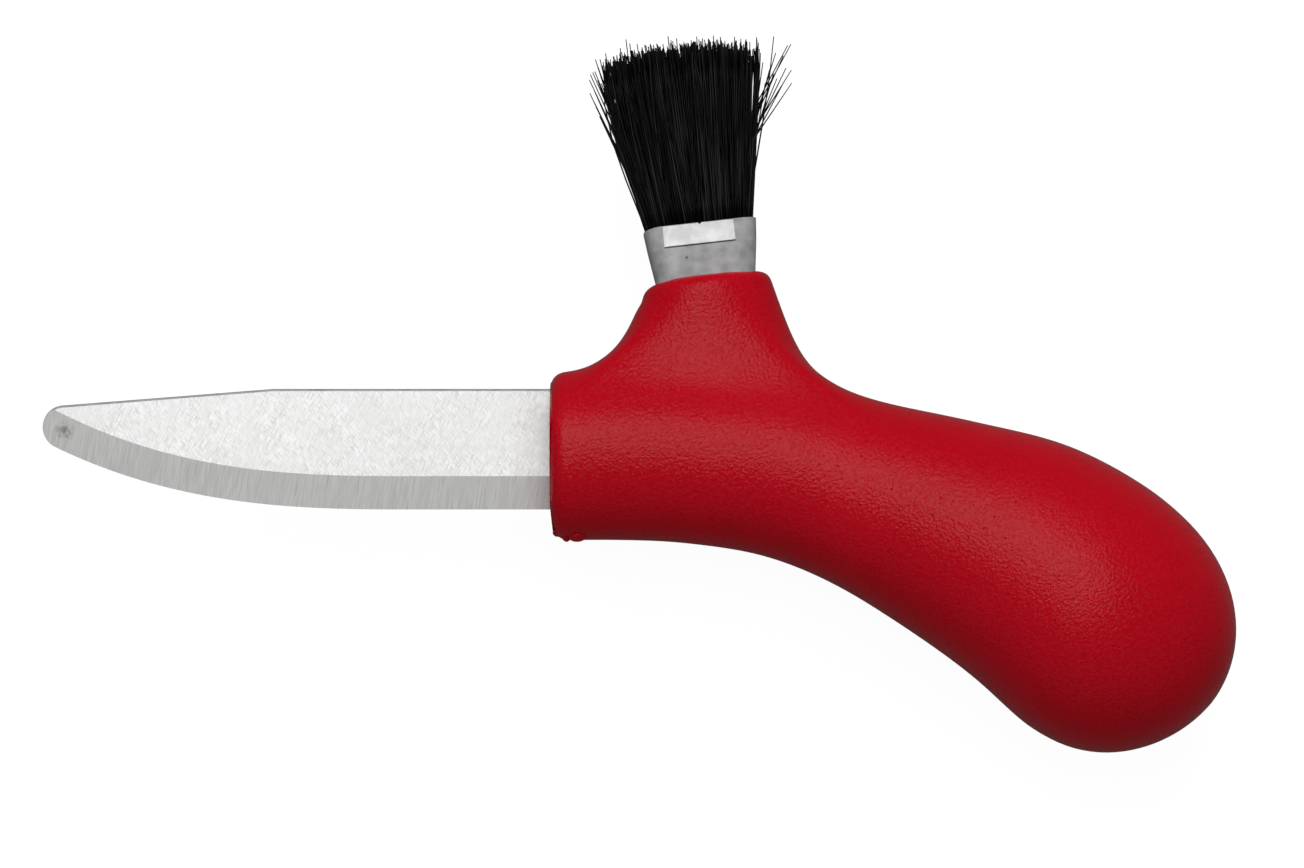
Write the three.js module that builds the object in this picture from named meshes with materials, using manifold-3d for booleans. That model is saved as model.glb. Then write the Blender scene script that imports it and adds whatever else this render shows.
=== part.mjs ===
// A mushroom forager's knife: a short ground blade, a moulded palm handle, and a small
// brush set in a collar on the handle's back.
// Millimetres. The knife lies on its side. +X runs from the blade's nose to the butt,
// +Y towards the brush, and +Z up, square to the blade's flats.

import * as THREE from 'three';
import { mergeVertices } from 'three/addons/utils/BufferGeometryUtils.js';
import Module from 'manifold-3d';

const wasm = await Module();
wasm.setup();

// Fit between a piece and the one that holds it.
const SEAT_GAP = 0.3;

// Blade. Its length is what stands out of the handle.
const BLADE_LENGTH = 62;
const BLADE_HEIGHT = 14.7;
const BLADE_THICKNESS = 1.9;
const BEVEL_WIDTH = 4;
const EDGE_THICKNESS = 0.1;
const SPINE_CHAMFER = 0.25;
const SPINE_STRAIGHT = 33.7;
const SPINE_DROP_ANGLE = 4.5;
const NOSE_RADIUS = 2.65;
const BELLY_START = 17;
const BELLY_POWER = 2.75;

// Tang, moulded into the handle.
const ROOT_LENGTH = 6;
const TANG_LENGTH = 34;
const TANG_HEIGHT = 6.4;
const TANG_END_HEIGHT = 5;
const TANG_OVER_BEVEL = 0.2;
const TANG_STEP = 0.8;
const NOTCH_FROM_ROOT = 12;
const NOTCH_LENGTH = 4;
const NOTCH_HEIGHT = 4;

// Handle. Plastic left above the spine and below the edge at the front face.
const WALL_OVER_SPINE = 2;
const WALL_UNDER_EDGE = 3.8;
const FRONT_DEPTH = 16.5;
const FRONT_ROUND = 1.6;
const SQUARENESS = 2.2;

// Sections of the palm behind the front face: middle, lean of the section, height, depth.
const BRIDGE = { x: 8.4, y: 0.3, lean: 0, height: 21.0, depth: 17 };
const NECK = { x: 17, y: 0, lean: 2, height: 21.2, depth: 17.6 };
const WAIST = { x: 27.5, y: -1.2, lean: 9, height: 22, depth: 18.6 };
const GRIP = { x: 37.2, y: -4.3, lean: 16, height: 22.9, depth: 20 };
const SWELL = { x: 47.2, y: -8.1, lean: 20.3, height: 26.4, depth: 23 };
const PALM = { x: 57.6, y: -12.8, lean: 24.6, height: 30.5, depth: 26.5 };
const BULB = { x: 67.1, y: -19.5, lean: 30, height: 32.3, depth: 28.5 };
const BUTT_LENGTH = 17.2;
const BUTT_ANGLE = 36.4;

// Gate stub under the front of the handle.
const GATE_X = 3.4;
const GATE_LENGTH = 2.4;
const GATE_WIDTH = 3;
const GATE_STANDS = 0.35;

// Collar that holds the brush. Its axis leans towards the blade.
const COLLAR_X = 18.95;
const COLLAR_TOP = 21.4;
const COLLAR_WALL = 1.95;
const COLLAR_ROUND = 1.5;
const COLLAR_FLARE = 19;
const COLLAR_SWEEP_FRONT = 0.4;
const COLLAR_SWEEP_BACK = 0.52;
const COLLAR_REACH_BACK = 21;
const COLLAR_REACH_ROUND = 60;
const BRUSH_LEAN = 6.4;
const SOCKET_DEPTH = 8;

// Ferrule: a tube pressed flat-oval, wider and thinner towards its mouth.
const HEEL_WIDTH = 12.3;
const HEEL_DEPTH = 9.2;
const RIDGE_WIDTH = 13.4;
const RIDGE_DEPTH = 7.8;
const MOUTH_WIDTH = 13.9;
const MOUTH_DEPTH = 6.2;
const FERRULE_STANDS = 6.3;
const CRIMP_HEIGHT = 2.4;
const FERRULE_WALL = 0.45;

// Resin setting, and the bristles that stand in it.
const SETTING_BELOW_MOUTH = 3.2;
const SLICE_THICKNESS = 1.2;
const BRISTLE_LENGTH = 22.6;
const BRISTLE_RADIUS = 0.13;
const BRISTLE_PITCH = 0.335;
const TUFT_SPREAD = 1.54;
const TUFT_SPREAD_DEPTH = 1.5;
const TUFT_ROUNDING = 1.2;
const LENGTH_SCATTER = 1.4;
const TIP_SCATTER = 0.16;
const STRAY_REACH = 4.5;
const TALL_REACH = 1.4;
const TUFT_SPLIT = 1.5;

const degrees = THREE.MathUtils.degToRad;
const between = THREE.MathUtils.lerp;

const finishes = {
  steel: new THREE.MeshStandardMaterial({ color: 0xc9cccf, roughness: 0.32, metalness: 1 }),
  red: new THREE.MeshStandardMaterial({ color: 0xb00a18, roughness: 0.5, metalness: 0 }),
  aluminium: new THREE.MeshStandardMaterial({ color: 0xb9bbbe, roughness: 0.3, metalness: 1 }),
  resin: new THREE.MeshStandardMaterial({ color: 0x4a3f30, roughness: 0.4, metalness: 0 }),
  bristle: new THREE.MeshStandardMaterial({ color: 0x101012, roughness: 0.55, metalness: 0 }),
};

// A geometry from points and triangles that name them.
function surface(points, triangles) {
  const geometry = new THREE.BufferGeometry();
  geometry.setAttribute('position', new THREE.Float32BufferAttribute(points.flatMap((p) => p.toArray()), 3));
  geometry.setIndex(triangles);
  return geometry;
}

// Triangles between two rings of points, given by where each ring starts in the point list.
function band(triangles, from, to, count) {
  for (let k = 0; k < count; k++) {
    const next = (k + 1) % count;
    triangles.push(from + k, from + next, to + next, from + k, to + next, to + k);
  }
}

function middleOf(points) {
  return points.reduce((sum, p) => sum.add(p), new THREE.Vector3()).divideScalar(points.length);
}

// A closed surface through a row of rings. A fan from its middle closes each end.
function loft(rings) {
  const count = rings[0].length;
  const points = rings.flat();
  const triangles = [];
  for (let r = 0; r + 1 < rings.length; r++) band(triangles, r * count, (r + 1) * count, count);
  const last = (rings.length - 1) * count;
  points.push(middleOf(rings[0]), middleOf(rings[rings.length - 1]));
  for (let k = 0; k < count; k++) {
    const next = (k + 1) % count;
    triangles.push(next, k, last + count, last + k, last + next, last + count + 1);
  }
  return surface(points, triangles);
}

function solid(geometry) {
  const bare = new THREE.BufferGeometry();
  bare.setAttribute('position', geometry.attributes.position);
  bare.setIndex(geometry.index);
  const merged = mergeVertices(bare, 1e-4);
  return new wasm.Manifold(new wasm.Mesh({
    numProp: 3,
    vertProperties: Float32Array.from(merged.attributes.position.array),
    triVerts: Uint32Array.from(merged.index.array),
  }));
}

function geometryOf(body) {
  const mesh = body.getMesh();
  const geometry = new THREE.BufferGeometry();
  geometry.setAttribute('position', new THREE.BufferAttribute(mesh.vertProperties, 3));
  geometry.setIndex(new THREE.BufferAttribute(mesh.triVerts, 1));
  return geometry;
}

function piece(name, geometry, finish) {
  geometry.computeVertexNormals();
  const mesh = new THREE.Mesh(geometry, finishes[finish].clone());
  mesh.name = name;
  return mesh;
}

// Blade outline. The handle's front face is x = 0, and y = 0 is the middle of that face.
const frontHeight = BLADE_HEIGHT + WALL_OVER_SPINE + WALL_UNDER_EDGE;
const spineY = frontHeight / 2 - WALL_OVER_SPINE;
const edgeY = spineY - BLADE_HEIGHT;
const dropSlope = Math.tan(degrees(SPINE_DROP_ANGLE));
const noseX = NOSE_RADIUS - BLADE_LENGTH;
const spineAtNose = spineY - (-SPINE_STRAIGHT - noseX) * dropSlope;
const noseY = spineAtNose - NOSE_RADIUS / Math.cos(degrees(SPINE_DROP_ANGLE));

// The belly rises by a power of the distance from its start, so that it runs into the nose round.
let noseSlope = 0.45;
let bellyEnd = noseX;
let bellyRise = 1;
for (let round = 0; round < 20; round++) {
  const angle = Math.atan(noseSlope);
  bellyEnd = noseX - NOSE_RADIUS * Math.sin(angle);
  bellyRise = noseY - NOSE_RADIUS * Math.cos(angle) - edgeY;
  noseSlope = BELLY_POWER * bellyRise / (-BELLY_START - bellyEnd);
}

function edgeAt(x) {
  const along = Math.max(0, (-BELLY_START - x) / (-BELLY_START - bellyEnd));
  const slope = BELLY_POWER * bellyRise * along ** (BELLY_POWER - 1) / (-BELLY_START - bellyEnd);
  return { y: edgeY + bellyRise * along ** BELLY_POWER, slant: Math.cos(Math.atan(slope)) };
}

function outlineAt(x) {
  const round = Math.sqrt(Math.max(0, NOSE_RADIUS ** 2 - Math.min(0, x - noseX) ** 2));
  const roundFrom = noseX - NOSE_RADIUS * Math.sin(degrees(SPINE_DROP_ANGLE));
  const spine = spineY - Math.max(0, -SPINE_STRAIGHT - x) * dropSlope;
  return {
    high: x < roundFrom ? noseY + round : spine,
    low: x < bellyEnd ? noseY - round : edgeAt(x).y,
  };
}

// Eight points round the blade: chamfered spine, flats, and bevels down to the edge.
function bladeSection(x, grow) {
  const edge = edgeAt(x);
  const { high, low } = outlineAt(x);
  const half = (y) => {
    const share = Math.min(1, (y - edge.y) * edge.slant / BEVEL_WIDTH);
    return between(EDGE_THICKNESS, BLADE_THICKNESS, Math.max(0, share)) / 2 + grow;
  };
  const shoulder = Math.min(edge.y + BEVEL_WIDTH / edge.slant, between(high, low, 0.25));
  const side = [
    [high + grow, half(high) - SPINE_CHAMFER],
    [high + grow - SPINE_CHAMFER, half(high)],
    [shoulder, half(shoulder)],
    [low - grow, half(low)],
  ];
  return ringOf(x, side);
}

const tangMiddle = edgeY + BEVEL_WIDTH + TANG_OVER_BEVEL + TANG_HEIGHT / 2;

function tangSection(x, height, grow) {
  const half = BLADE_THICKNESS / 2 + grow;
  const high = tangMiddle + height / 2 + grow;
  const low = tangMiddle - height / 2 - grow;
  const side = [
    [high, half - SPINE_CHAMFER],
    [high - SPINE_CHAMFER, half],
    [tangMiddle, half],
    [low, half],
  ];
  return ringOf(x, side);
}

function ringOf(x, side) {
  const back = side.map(([y, z]) => new THREE.Vector3(x, y, -z)).reverse();
  return [...side.map(([y, z]) => new THREE.Vector3(x, y, z)), ...back];
}

// The root in the handle, then the tang, with a notch that keys it, to its end.
function tangRings(grow) {
  const notch = ROOT_LENGTH + NOTCH_FROM_ROOT;
  const notchEnd = notch + NOTCH_LENGTH;
  return [
    bladeSection(ROOT_LENGTH + grow, grow),
    tangSection(ROOT_LENGTH + TANG_STEP + grow, TANG_HEIGHT, grow),
    tangSection(notch + grow, TANG_HEIGHT, grow),
    tangSection(notch + TANG_STEP + grow, NOTCH_HEIGHT, grow),
    tangSection(notchEnd - TANG_STEP - grow, NOTCH_HEIGHT, grow),
    tangSection(notchEnd - grow, TANG_HEIGHT, grow),
    tangSection(ROOT_LENGTH + TANG_LENGTH + grow, TANG_END_HEIGHT, grow),
  ];
}

const bladeStations = [];
for (let turn = 12; turn < 90; turn += 13) {
  bladeStations.push(-BLADE_LENGTH + NOSE_RADIUS * (1 - Math.cos(degrees(turn))));
}
const bellySteps = 14;
for (let step = 0; step <= bellySteps; step++) {
  bladeStations.push(between(noseX + 0.4, -SPINE_STRAIGHT, step / bellySteps));
}
const straightSteps = 6;
for (let step = 1; step <= straightSteps; step++) {
  bladeStations.push(between(-SPINE_STRAIGHT, -0.6, step / straightSteps));
}
const bladeGeometry = loft([...bladeStations.map((x) => bladeSection(x, 0)), ...tangRings(0)]);

// Palm of the handle: oval sections strung along a spline, closed by a round butt.
const front = { x: 0, y: 0, lean: 0, height: frontHeight, depth: FRONT_DEPTH };

function buttSection(turn) {
  const along = BUTT_LENGTH * Math.sin(turn);
  return {
    x: BULB.x + along * Math.cos(degrees(BUTT_ANGLE)),
    y: BULB.y - along * Math.sin(degrees(BUTT_ANGLE)),
    lean: between(BULB.lean, BUTT_ANGLE, Math.sin(turn)),
    height: BULB.height * Math.cos(turn),
    depth: BULB.depth * Math.cos(turn),
  };
}

const strung = [front, BRIDGE, NECK, WAIST, GRIP, SWELL, PALM, BULB, buttSection(degrees(30))];
const spines = [['x', 'y', 'lean'], ['height', 'depth', 'depth']].map((names) =>
  new THREE.CatmullRomCurve3(strung.map((s) => new THREE.Vector3(...names.map((n) => s[n]))), false, 'catmullrom'));

function palmSection(share) {
  const place = spines[0].getPoint(share * (strung.length - 2) / (strung.length - 1));
  const size = spines[1].getPoint(share * (strung.length - 2) / (strung.length - 1));
  return { x: place.x, y: place.y, lean: place.z, height: size.x, depth: size.y };
}

const COLUMNS = 40;
const squared = (value) => Math.sign(value) * Math.abs(value) ** (2 / SQUARENESS);

// Points round one section, from its top over the +Z side. The inset draws it in all round.
function palmRing(section, inset = 0) {
  const lean = degrees(section.lean);
  const up = new THREE.Vector3(Math.sin(lean), Math.cos(lean), 0);
  const ring = [];
  for (let c = 0; c < COLUMNS; c++) {
    const turn = 2 * Math.PI * c / COLUMNS;
    const point = new THREE.Vector3(section.x, section.y, (section.depth / 2 - inset) * squared(Math.sin(turn)));
    ring.push(point.addScaledVector(up, (section.height / 2 - inset) * squared(Math.cos(turn))));
  }
  return ring;
}

// The collar's own frame: its axis through the middle of the rim.
const brushPlace = new THREE.Matrix4().makeRotationZ(degrees(BRUSH_LEAN));
brushPlace.setPosition(COLLAR_X, COLLAR_TOP, 0);

function handleSurface() {
  const rings = [];
  const roundSteps = 3;
  for (let step = 0; step <= roundSteps; step++) {
    const turn = Math.PI / 2 * step / roundSteps;
    const ring = palmRing(palmSection(0), FRONT_ROUND * (1 - Math.sin(turn)));
    const back = FRONT_ROUND * (1 - Math.cos(turn));
    rings.push(ring.map((p) => p.setX(p.x + back)));
  }
  const patchFirst = roundSteps;
  const palmSteps = 30;
  let patchLast = patchFirst;
  for (let step = 1; step <= palmSteps; step++) {
    const share = between(0.045, 1, step / palmSteps);
    const section = palmSection(share);
    rings.push(palmRing(section));
    if (section.x < COLLAR_X + COLLAR_REACH_BACK) patchLast = rings.length - 1;
  }
  for (const turn of [16, 32, 47, 61, 73, 83]) rings.push(palmRing(buttSection(degrees(turn))));

  const points = rings.flat();
  const at = (ring, column) => ring * COLUMNS + (column + COLUMNS) % COLUMNS;
  const reach = Math.round(COLUMNS * COLLAR_REACH_ROUND / 360);
  const triangles = [];
  for (let r = 0; r + 1 < rings.length; r++) {
    for (let c = 0; c < COLUMNS; c++) {
      const inPatch = r >= patchFirst && r < patchLast && (c < reach || c >= COLUMNS - reach);
      if (inPatch) continue;
      triangles.push(at(r, c), at(r, c + 1), at(r + 1, c + 1), at(r, c), at(r + 1, c + 1), at(r + 1, c));
    }
  }
  points.push(middleOf(rings[0]), middleOf(rings[rings.length - 1]));
  const lastRing = rings.length - 1;
  for (let c = 0; c < COLUMNS; c++) {
    triangles.push(at(0, c + 1), at(0, c), points.length - 2);
    triangles.push(at(lastRing, c), at(lastRing, c + 1), points.length - 1);
  }

  // Border of the open patch, in order round it, with the palm's outward direction there.
  const border = [];
  const add = (ring, column) => {
    const along = points[at(ring + 1, column)].clone().sub(points[at(ring - 1, column)]);
    const across = points[at(ring, column + 1)].clone().sub(points[at(ring, column - 1)]);
    border.push({ index: at(ring, column), out: across.cross(along).normalize() });
  };
  for (let c = -reach; c <= reach; c++) add(patchFirst, c);
  for (let r = patchFirst + 1; r < patchLast; r++) add(r, reach);
  for (let c = reach; c >= -reach; c--) add(patchLast, c);
  for (let r = patchLast - 1; r > patchFirst; r--) add(r, -reach);

  // From the border a swept wall rises to the collar's rim, then rounds over to its flat top.
  const toCollar = brushPlace.clone().invert();
  const local = border.map(({ index }) => points[index].clone().applyMatrix4(toCollar));
  const box = new THREE.Box3().setFromPoints(local);
  const halfWidth = HEEL_WIDTH / 2 + COLLAR_WALL;
  const halfDepth = HEEL_DEPTH / 2 + COLLAR_WALL;
  const rim = local.map((p) => {
    const reachX = p.x < 0 ? -box.min.x : box.max.x;
    return Math.atan2(p.z / box.max.z, p.x / reachX);
  });
  const rimPoint = (turn, inset, y) =>
    new THREE.Vector3((halfWidth - inset) * Math.cos(turn), y, (halfDepth - inset) * Math.sin(turn)).applyMatrix4(brushPlace);
  const wallSteps = 9;
  let previous = border.map(({ index }) => index);
  const nextRow = (row) => {
    const first = points.length;
    points.push(...row);
    const indices = row.map((p, k) => first + k);
    for (let k = 0; k < row.length; k++) {
      const n = (k + 1) % row.length;
      triangles.push(previous[k], previous[n], indices[n], previous[k], indices[n], indices[k]);
    }
    previous = indices;
  };
  for (let step = 1; step <= wallSteps; step++) {
    const t = step / wallSteps;
    nextRow(border.map(({ index, out }, k) => {
      const foot = points[index];
      const top = rimPoint(rim[k], 0, -COLLAR_ROUND);
      const outward = rimPoint(rim[k], -1, -COLLAR_ROUND).sub(top).normalize();
      const rise = new THREE.Vector3(0, Math.cos(degrees(COLLAR_FLARE)), 0);
      rise.addScaledVector(outward, -Math.sin(degrees(COLLAR_FLARE)));
      const inward = top.clone().sub(foot).projectOnPlane(out).normalize();
      const sweep = between(COLLAR_SWEEP_FRONT, COLLAR_SWEEP_BACK, (1 + Math.cos(rim[k])) / 2);
      const span = sweep * foot.distanceTo(top);
      const wall = new THREE.CubicBezierCurve3(
        foot,
        foot.clone().addScaledVector(inward, span),
        top.clone().addScaledVector(rise, -span),
        top,
      );
      return wall.getPoint(t);
    }));
  }
  for (const turn of [30, 60, 90]) {
    const inset = COLLAR_ROUND * (1 - Math.cos(degrees(turn)));
    nextRow(rim.map((angle) => rimPoint(angle, inset, COLLAR_ROUND * (Math.sin(degrees(turn)) - 1))));
  }
  points.push(new THREE.Vector3().applyMatrix4(brushPlace));
  for (let k = 0; k < previous.length; k++) {
    triangles.push(previous[k], previous[(k + 1) % previous.length], points.length - 1);
  }
  return surface(points, triangles);
}

// Flat-oval ring at a height on the brush's own axis: two round ends and straight sides.
function ovalRing(width, depth, y) {
  const endSteps = 9;
  const straight = (width - depth) / 2;
  const ring = [];
  for (const side of [1, -1]) {
    for (let step = 0; step <= endSteps; step++) {
      const turn = -Math.PI / 2 + Math.PI * step / endSteps;
      ring.push(new THREE.Vector3(
        side * (straight + depth / 2 * Math.cos(turn)), y, -side * depth / 2 * Math.sin(turn)));
    }
  }
  return ring;
}

// The ferrule's outside, drawn in all round by the inset, between two heights.
function ferruleLoft(inset, low, high) {
  const levels = [
    [0, HEEL_WIDTH, HEEL_DEPTH],
    [FERRULE_STANDS - CRIMP_HEIGHT, RIDGE_WIDTH, RIDGE_DEPTH],
    [FERRULE_STANDS, MOUTH_WIDTH, MOUTH_DEPTH],
  ];
  const sizeAt = (y) => {
    if (y <= 0) return [HEEL_WIDTH, HEEL_DEPTH];
    const top = y <= levels[1][0] ? 1 : 2;
    const share = (y - levels[top - 1][0]) / (levels[top][0] - levels[top - 1][0]);
    return [1, 2].map((n) => between(levels[top - 1][n], levels[top][n], share));
  };
  const heights = [low, ...levels.map(([y]) => y).filter((y) => y > low + 0.01 && y < high - 0.01), high];
  return loft(heights.map((y) => {
    const [width, depth] = sizeAt(y);
    return ovalRing(width - 2 * inset, depth - 2 * inset, y);
  }));
}

const heel = -SOCKET_DEPTH + SEAT_GAP;
const settingTop = FERRULE_STANDS - SETTING_BELOW_MOUTH;

const handleBody = solid(handleSurface())
  .add(solid(new THREE.SphereGeometry(1, 20, 12)
    .scale(GATE_LENGTH / 2, 2 * GATE_STANDS, GATE_WIDTH / 2)
    .translate(GATE_X, -frontHeight / 2 + GATE_STANDS, 0)))
  .subtract(solid(loft([bladeSection(-1, SEAT_GAP), ...tangRings(SEAT_GAP)])))
  .subtract(solid(ferruleLoft(-SEAT_GAP, -SOCKET_DEPTH, 0.01).applyMatrix4(brushPlace)))
  .subtract(solid(ferruleLoft(-SEAT_GAP, -0.5, 2).applyMatrix4(brushPlace)));

const ferruleBody = solid(ferruleLoft(0, heel, FERRULE_STANDS))
  .subtract(solid(ferruleLoft(FERRULE_WALL, heel - 1, FERRULE_STANDS + 1)));

// One bristle: three sides, thinner at its tip, rooted in the backing.
function strand(root, tip) {
  const ring = (middle, radius) => [0, 1, 2].map((k) => new THREE.Vector3(
    middle.x + radius * Math.cos(2 * Math.PI * k / 3),
    middle.y,
    middle.z - radius * Math.sin(2 * Math.PI * k / 3),
  ));
  return loft([ring(root, BRISTLE_RADIUS), ring(tip, BRISTLE_RADIUS * 0.7)]);
}

// A repeatable number from 0 to 1 for each bristle.
function scatter(number, kind) {
  const value = Math.sin(number * 12.9898 + kind * 78.233) * 43758.5453;
  return value - Math.floor(value);
}

// The bristles stand on a slice of the resin, in a close grid that opens out towards the tips.
const sliceLow = settingTop + SEAT_GAP;
const sliceHigh = sliceLow + SLICE_THICKNESS;
const tuftHalfWidth = MOUTH_WIDTH / 2 - FERRULE_WALL - 2 * SEAT_GAP;
const tuftHalfDepth = MOUTH_DEPTH / 2 - FERRULE_WALL - 2 * SEAT_GAP;
const bundles = [
  { name: 'bristles_upper_front', side: 1, end: -1, strands: [] },
  { name: 'bristles_upper_back', side: 1, end: 1, strands: [] },
  { name: 'bristles_lower_front', side: -1, end: -1, strands: [] },
  { name: 'bristles_lower_back', side: -1, end: 1, strands: [] },
];
const rowPitch = BRISTLE_PITCH * Math.sqrt(3) / 2;
const rowsOut = Math.floor(tuftHalfDepth / rowPitch);
const columnsOut = Math.floor(tuftHalfWidth / BRISTLE_PITCH) + 1;
let number = 0;
for (let row = -rowsOut; row <= rowsOut; row++) {
  for (let column = -columnsOut; column <= columnsOut; column++) {
    const x = (column + (row % 2 ? 0.5 : 0)) * BRISTLE_PITCH;
    const z = row * rowPitch;
    const beyond = Math.max(0, Math.abs(x) - (tuftHalfWidth - tuftHalfDepth));
    const fromSplit = x - Math.sign(z) * TUFT_SPLIT;
    const toBorder = Math.min(Math.abs(z), Math.abs(fromSplit)) - SEAT_GAP / 2;
    if (toBorder < BRISTLE_RADIUS || Math.hypot(beyond, z) > tuftHalfDepth - BRISTLE_RADIUS) continue;
    number += 1;
    const share = x / tuftHalfWidth;
    const stray = Math.abs(share) > 0.9 ? STRAY_REACH * scatter(number, 7) ** 3 : 0;
    const tall = scatter(number, 9) > 0.97 ? TALL_REACH * scatter(number, 5) : 0;
    const length = BRISTLE_LENGTH - TUFT_ROUNDING * (share - 0.3) ** 2 - LENGTH_SCATTER * scatter(number, 4) + tall;
    const foot = new THREE.Vector3(x, sliceLow + SLICE_THICKNESS / 3, z);
    const tip = new THREE.Vector3(
      x * TUFT_SPREAD + Math.sign(x) * stray + TIP_SCATTER * (scatter(number, 1) - 0.5),
      FERRULE_STANDS + length,
      z * TUFT_SPREAD_DEPTH + TIP_SCATTER * (scatter(number, 2) - 0.5),
    );
    bundles.find(({ side, end }) => side * z > 0 && end * fromSplit > 0).strands.push([foot, tip]);
  }
}

const slice = solid(ferruleLoft(FERRULE_WALL + SEAT_GAP, sliceLow, sliceHigh));
function bundleBody({ side, end, strands }) {
  const window = new THREE.BoxGeometry(MOUTH_WIDTH, 4 * SLICE_THICKNESS, MOUTH_DEPTH);
  const x = side * TUFT_SPLIT + end * (MOUTH_WIDTH + SEAT_GAP) / 2;
  const z = side * (MOUTH_DEPTH + SEAT_GAP) / 2;
  const root = slice.intersect(solid(window.translate(x, sliceHigh, z)));
  return strands.reduce((body, [foot, tip]) => body.add(solid(strand(foot, tip))), root);
}

const knife = new THREE.Group();
knife.name = 'mushroom_knife';
const brush = new THREE.Group();
brush.name = 'brush';
brush.applyMatrix4(brushPlace);
knife.add(brush);

knife.add(piece('blade', bladeGeometry, 'steel'));
knife.add(piece('handle', geometryOf(handleBody), 'red'));
brush.add(piece('brush_ferrule', geometryOf(ferruleBody), 'aluminium'));
brush.add(piece('brush_setting', ferruleLoft(FERRULE_WALL + SEAT_GAP, heel + SEAT_GAP, settingTop), 'resin'));
for (const bundle of bundles) brush.add(piece(bundle.name, geometryOf(bundleBody(bundle)), 'bristle'));

// Origin: the middle of the footprint, at the lowest point.
knife.updateMatrixWorld(true);
const box = new THREE.Box3().setFromObject(knife, true);
knife.position.set(-(box.min.x + box.max.x) / 2, -(box.min.y + box.max.y) / 2, -box.min.z);

export default knife;
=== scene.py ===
# %% [markdown]
# # A mushroom knife with a brush
# This lesson dresses a forager's knife for a picture. The knife is a short steel blade, a red
# moulded palm handle, and a small black brush whose metal ferrule stands in a collar on the
# handle's back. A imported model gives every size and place, so the first step loads it and keeps
# its box. Whatever is modelled later has to stay inside that box.

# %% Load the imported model
import math
import random
import bmesh
import bpy
from mathutils import Matrix, Vector


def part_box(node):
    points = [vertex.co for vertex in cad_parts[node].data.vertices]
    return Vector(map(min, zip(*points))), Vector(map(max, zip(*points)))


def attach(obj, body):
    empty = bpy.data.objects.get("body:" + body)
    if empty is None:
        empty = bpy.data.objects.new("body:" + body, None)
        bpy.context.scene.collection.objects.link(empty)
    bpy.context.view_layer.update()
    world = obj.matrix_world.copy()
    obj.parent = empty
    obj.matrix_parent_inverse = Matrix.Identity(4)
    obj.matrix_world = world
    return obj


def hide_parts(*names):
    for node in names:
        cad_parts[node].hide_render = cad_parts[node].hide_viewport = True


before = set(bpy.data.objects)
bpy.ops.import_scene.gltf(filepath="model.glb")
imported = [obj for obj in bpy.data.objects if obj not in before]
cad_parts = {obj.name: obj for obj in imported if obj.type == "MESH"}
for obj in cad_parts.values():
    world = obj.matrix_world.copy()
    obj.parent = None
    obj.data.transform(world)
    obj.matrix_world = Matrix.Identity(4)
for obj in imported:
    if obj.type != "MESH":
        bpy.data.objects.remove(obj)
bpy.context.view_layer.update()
print("nodes:", sorted(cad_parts))

# %% [markdown]
# Blender works in metres, but a knife is drawn in millimetres. The drawing's zero is the middle of
# the handle's front face: x runs to the butt, y towards the brush, z up out of the table. The three
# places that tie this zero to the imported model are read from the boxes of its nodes, so the lesson
# follows the model if it moves.

# %% Millimetres from the handle's front face
MM = 0.001
BLADE_HEIGHT = 14.7
SPINE_Y = 8.25
EDGE_Y = SPINE_Y - BLADE_HEIGHT
handle_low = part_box("handle")[0]
blade_low, blade_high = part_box("blade")
zero = Vector((handle_low[0], blade_high[1] - SPINE_Y * MM, (blade_low[2] + blade_high[2]) / 2))


def at(x, y, z=0.0):
    """A point of the drawing, in metres."""
    return zero + Vector((x, y, z)) * MM


print("drawing zero in metres:", tuple(round(value, 5) for value in zero))

# %% [markdown]
# Operators act on whatever is selected, and loading leaves the model's nodes selected. So each piece
# starts by clearing the selection, and inside edit mode parts of a mesh are picked in code, by where
# they are or how they face. These helpers keep that to one line each.

# %% Helpers for working as by hand
def begin():
    """Leaves edit mode with nothing selected."""
    if bpy.context.object and bpy.context.object.mode == "EDIT":
        bpy.ops.object.mode_set(mode="OBJECT")
    bpy.ops.object.select_all(action="DESELECT")


def take(piece):
    """Selects one piece alone and makes it the active one."""
    begin()
    bpy.context.view_layer.objects.active = piece
    piece.select_set(True)


def edit(piece):
    """Opens one piece in edit mode."""
    take(piece)
    bpy.ops.object.mode_set(mode="EDIT")


def settle(piece):
    """Leaves edit mode and puts the piece's place into its mesh."""
    take(piece)
    bpy.ops.object.transform_apply(location=True, rotation=True, scale=True)


def pick(piece, kind, wanted):
    """Selects the vertices, edges or faces that pass a test, and says how many."""
    bpy.ops.mesh.select_mode(type={"verts": "VERT", "edges": "EDGE", "faces": "FACE"}[kind])
    bpy.ops.mesh.select_all(action="DESELECT")
    mesh = bmesh.from_edit_mesh(piece.data)
    picked = [element for element in getattr(mesh, kind) if wanted(element)]
    for element in picked:
        element.select_set(True)
    bmesh.update_edit_mesh(piece.data)
    return len(picked)


def use_modifier(piece, kind, **settings):
    """Adds a modifier, sets it and applies it."""
    take(piece)
    bpy.ops.object.modifier_add(type=kind)
    modifier = piece.modifiers[-1]
    for name, value in settings.items():
        setattr(modifier, name, value)
    bpy.ops.object.modifier_apply(modifier=modifier.name)


def smooth(piece, degrees):
    """Shades a piece smooth, apart from edges that turn by more than an angle."""
    take(piece)
    bpy.ops.object.shade_smooth_by_angle(angle=math.radians(degrees))


print("helpers ready")

# %% [markdown]
# ## The handle
# The handle is one moulding: a palm that grows from a flat front face, bends down and ends in a round
# swell, with a collar that flares up out of its back. A palm like this could be sculpted from a
# sphere, but its outline is known well, so it is drawn as a row of oval sections instead. Each has a
# middle, a lean, a height and a depth. A Catmull-Rom spline fills in the sections between them.

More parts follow.
